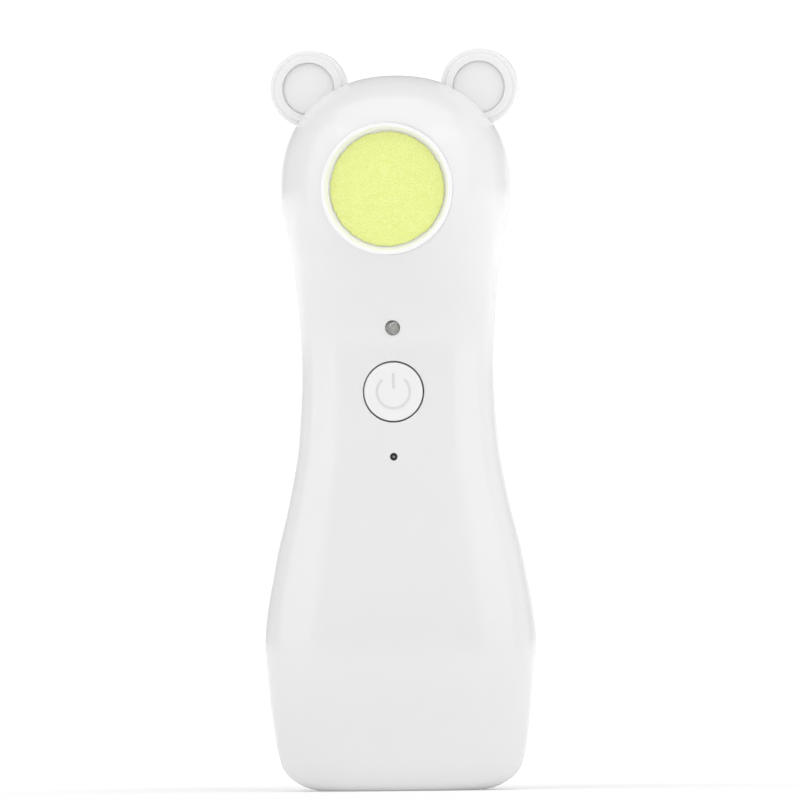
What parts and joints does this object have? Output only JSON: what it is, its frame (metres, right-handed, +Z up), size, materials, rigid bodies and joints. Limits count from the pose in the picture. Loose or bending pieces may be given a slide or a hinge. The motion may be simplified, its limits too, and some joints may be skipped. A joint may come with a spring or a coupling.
{
  "type": "electric nail grinder",
  "caption": "Slim handheld pet nail grinder with a domed head, two small round ears, a recessed spinning abrasive disc, a lamp and one power button.",
  "frame": {"origin": "middle of the bounding box at the base face it stands on", "axes": "+Z up along the handle, front with the disc towards -Y, +X to the right seen from the front"},
  "size_m": [0.0558, 0.0346, 0.152],
  "materials": {
    "white_shell": "semi-gloss",
    "white_trim": "gloss",
    "ear_inlay": "satin",
    "bezel_white": "gloss",
    "button_white": "satin",
    "mark_grey": "printed",
    "felt": "felted",
    "bronze": "sintered",
    "nylon": "moulded",
    "gear_nylon": "moulded",
    "screw_steel": "zinc plated",
    "motor_steel": "drawn",
    "shaft_steel": "ground",
    "port_steel": "satin",
    "ferrite": "sintered",
    "carbon": "matte",
    "brass": "machined",
    "copper": "enamelled",
    "circuit_board": "solder mask",
    "dark_plastic": "moulded",
    "clear_lens": "clear",
    "lamp_chip": "moulded",
    "battery_wrap": "laminated pouch",
    "foam": "closed cell",
    "wire_red": "insulated",
    "abrasive": "fine grit",
    "pad_rubber": "moulded"
  },
  "bodies": {
    "housing": {"front_shell": "white_shell", "rear_shell": "white_shell", "left_ear": "white_trim", "left_ear_inlay": "ear_inlay", "right_ear": "white_trim", "right_ear_inlay": "ear_inlay", "bezel_cup": "bezel_white", "dust_seal": "felt", "front_bush": "bronze", "rear_bush": "bronze", "gearbox_cover": "nylon", "gearbox_frame": "nylon", "cover_screws": "screw_steel", "gearbox_screws": "screw_steel", "motor_can": "motor_steel", "motor_end_cap": "dark_plastic", "motor_magnets": "ferrite", "motor_terminals": "brass", "motor_brushes": "carbon", "main_board": "circuit_board", "board_components": "dark_plastic", "board_screws": "screw_steel", "tact_switch_body": "dark_plastic", "work_light_led": "clear_lens", "indicator_led": "lamp_chip", "indicator_sleeve": "dark_plastic", "indicator_light_pipe": "clear_lens", "battery_cell": "battery_wrap", "battery_pad": "foam", "charge_board": "circuit_board", "usb_c_shell": "port_steel", "usb_c_tongue": "dark_plastic", "housing_screws": "screw_steel", "motor_leads": "wire_red", "battery_leads": "wire_red", "charge_leads": "wire_red"},
    "spindle": {"abrasive_disc": "abrasive", "backing_pad": "pad_rubber", "turntable": "nylon", "spindle_shaft": "shaft_steel", "spindle_gear": "gear_nylon"},
    "rotor": {"motor_armature": "motor_steel", "motor_windings": "copper", "motor_commutator": "copper", "motor_shaft": "shaft_steel", "motor_pinion": "brass"},
    "button": {"button_cap": "button_white", "power_mark": "mark_grey", "tact_plunger": "dark_plastic"}
  },
  "joints": [
    {"name": "disc_spin", "type": "hinge", "parent": "housing", "child": "spindle", "pos_m": [0, 0, 0.1233], "axis": [0, 1, 0], "continuous": true},
    {"name": "motor_spin", "type": "hinge", "parent": "housing", "child": "rotor", "pos_m": [0, 0, 0.1113], "axis": [0, 1, 0], "continuous": true},
    {"name": "button_press", "type": "slide", "parent": "housing", "child": "button", "axis": [0, 1, 0], "range_m": [0, 0.0004], "stiffness_N_per_m": 4000}
  ],
  "couplings": [
    {"joint": "motor_spin", "follows": "disc_spin", "ratio": -3}
  ]
}
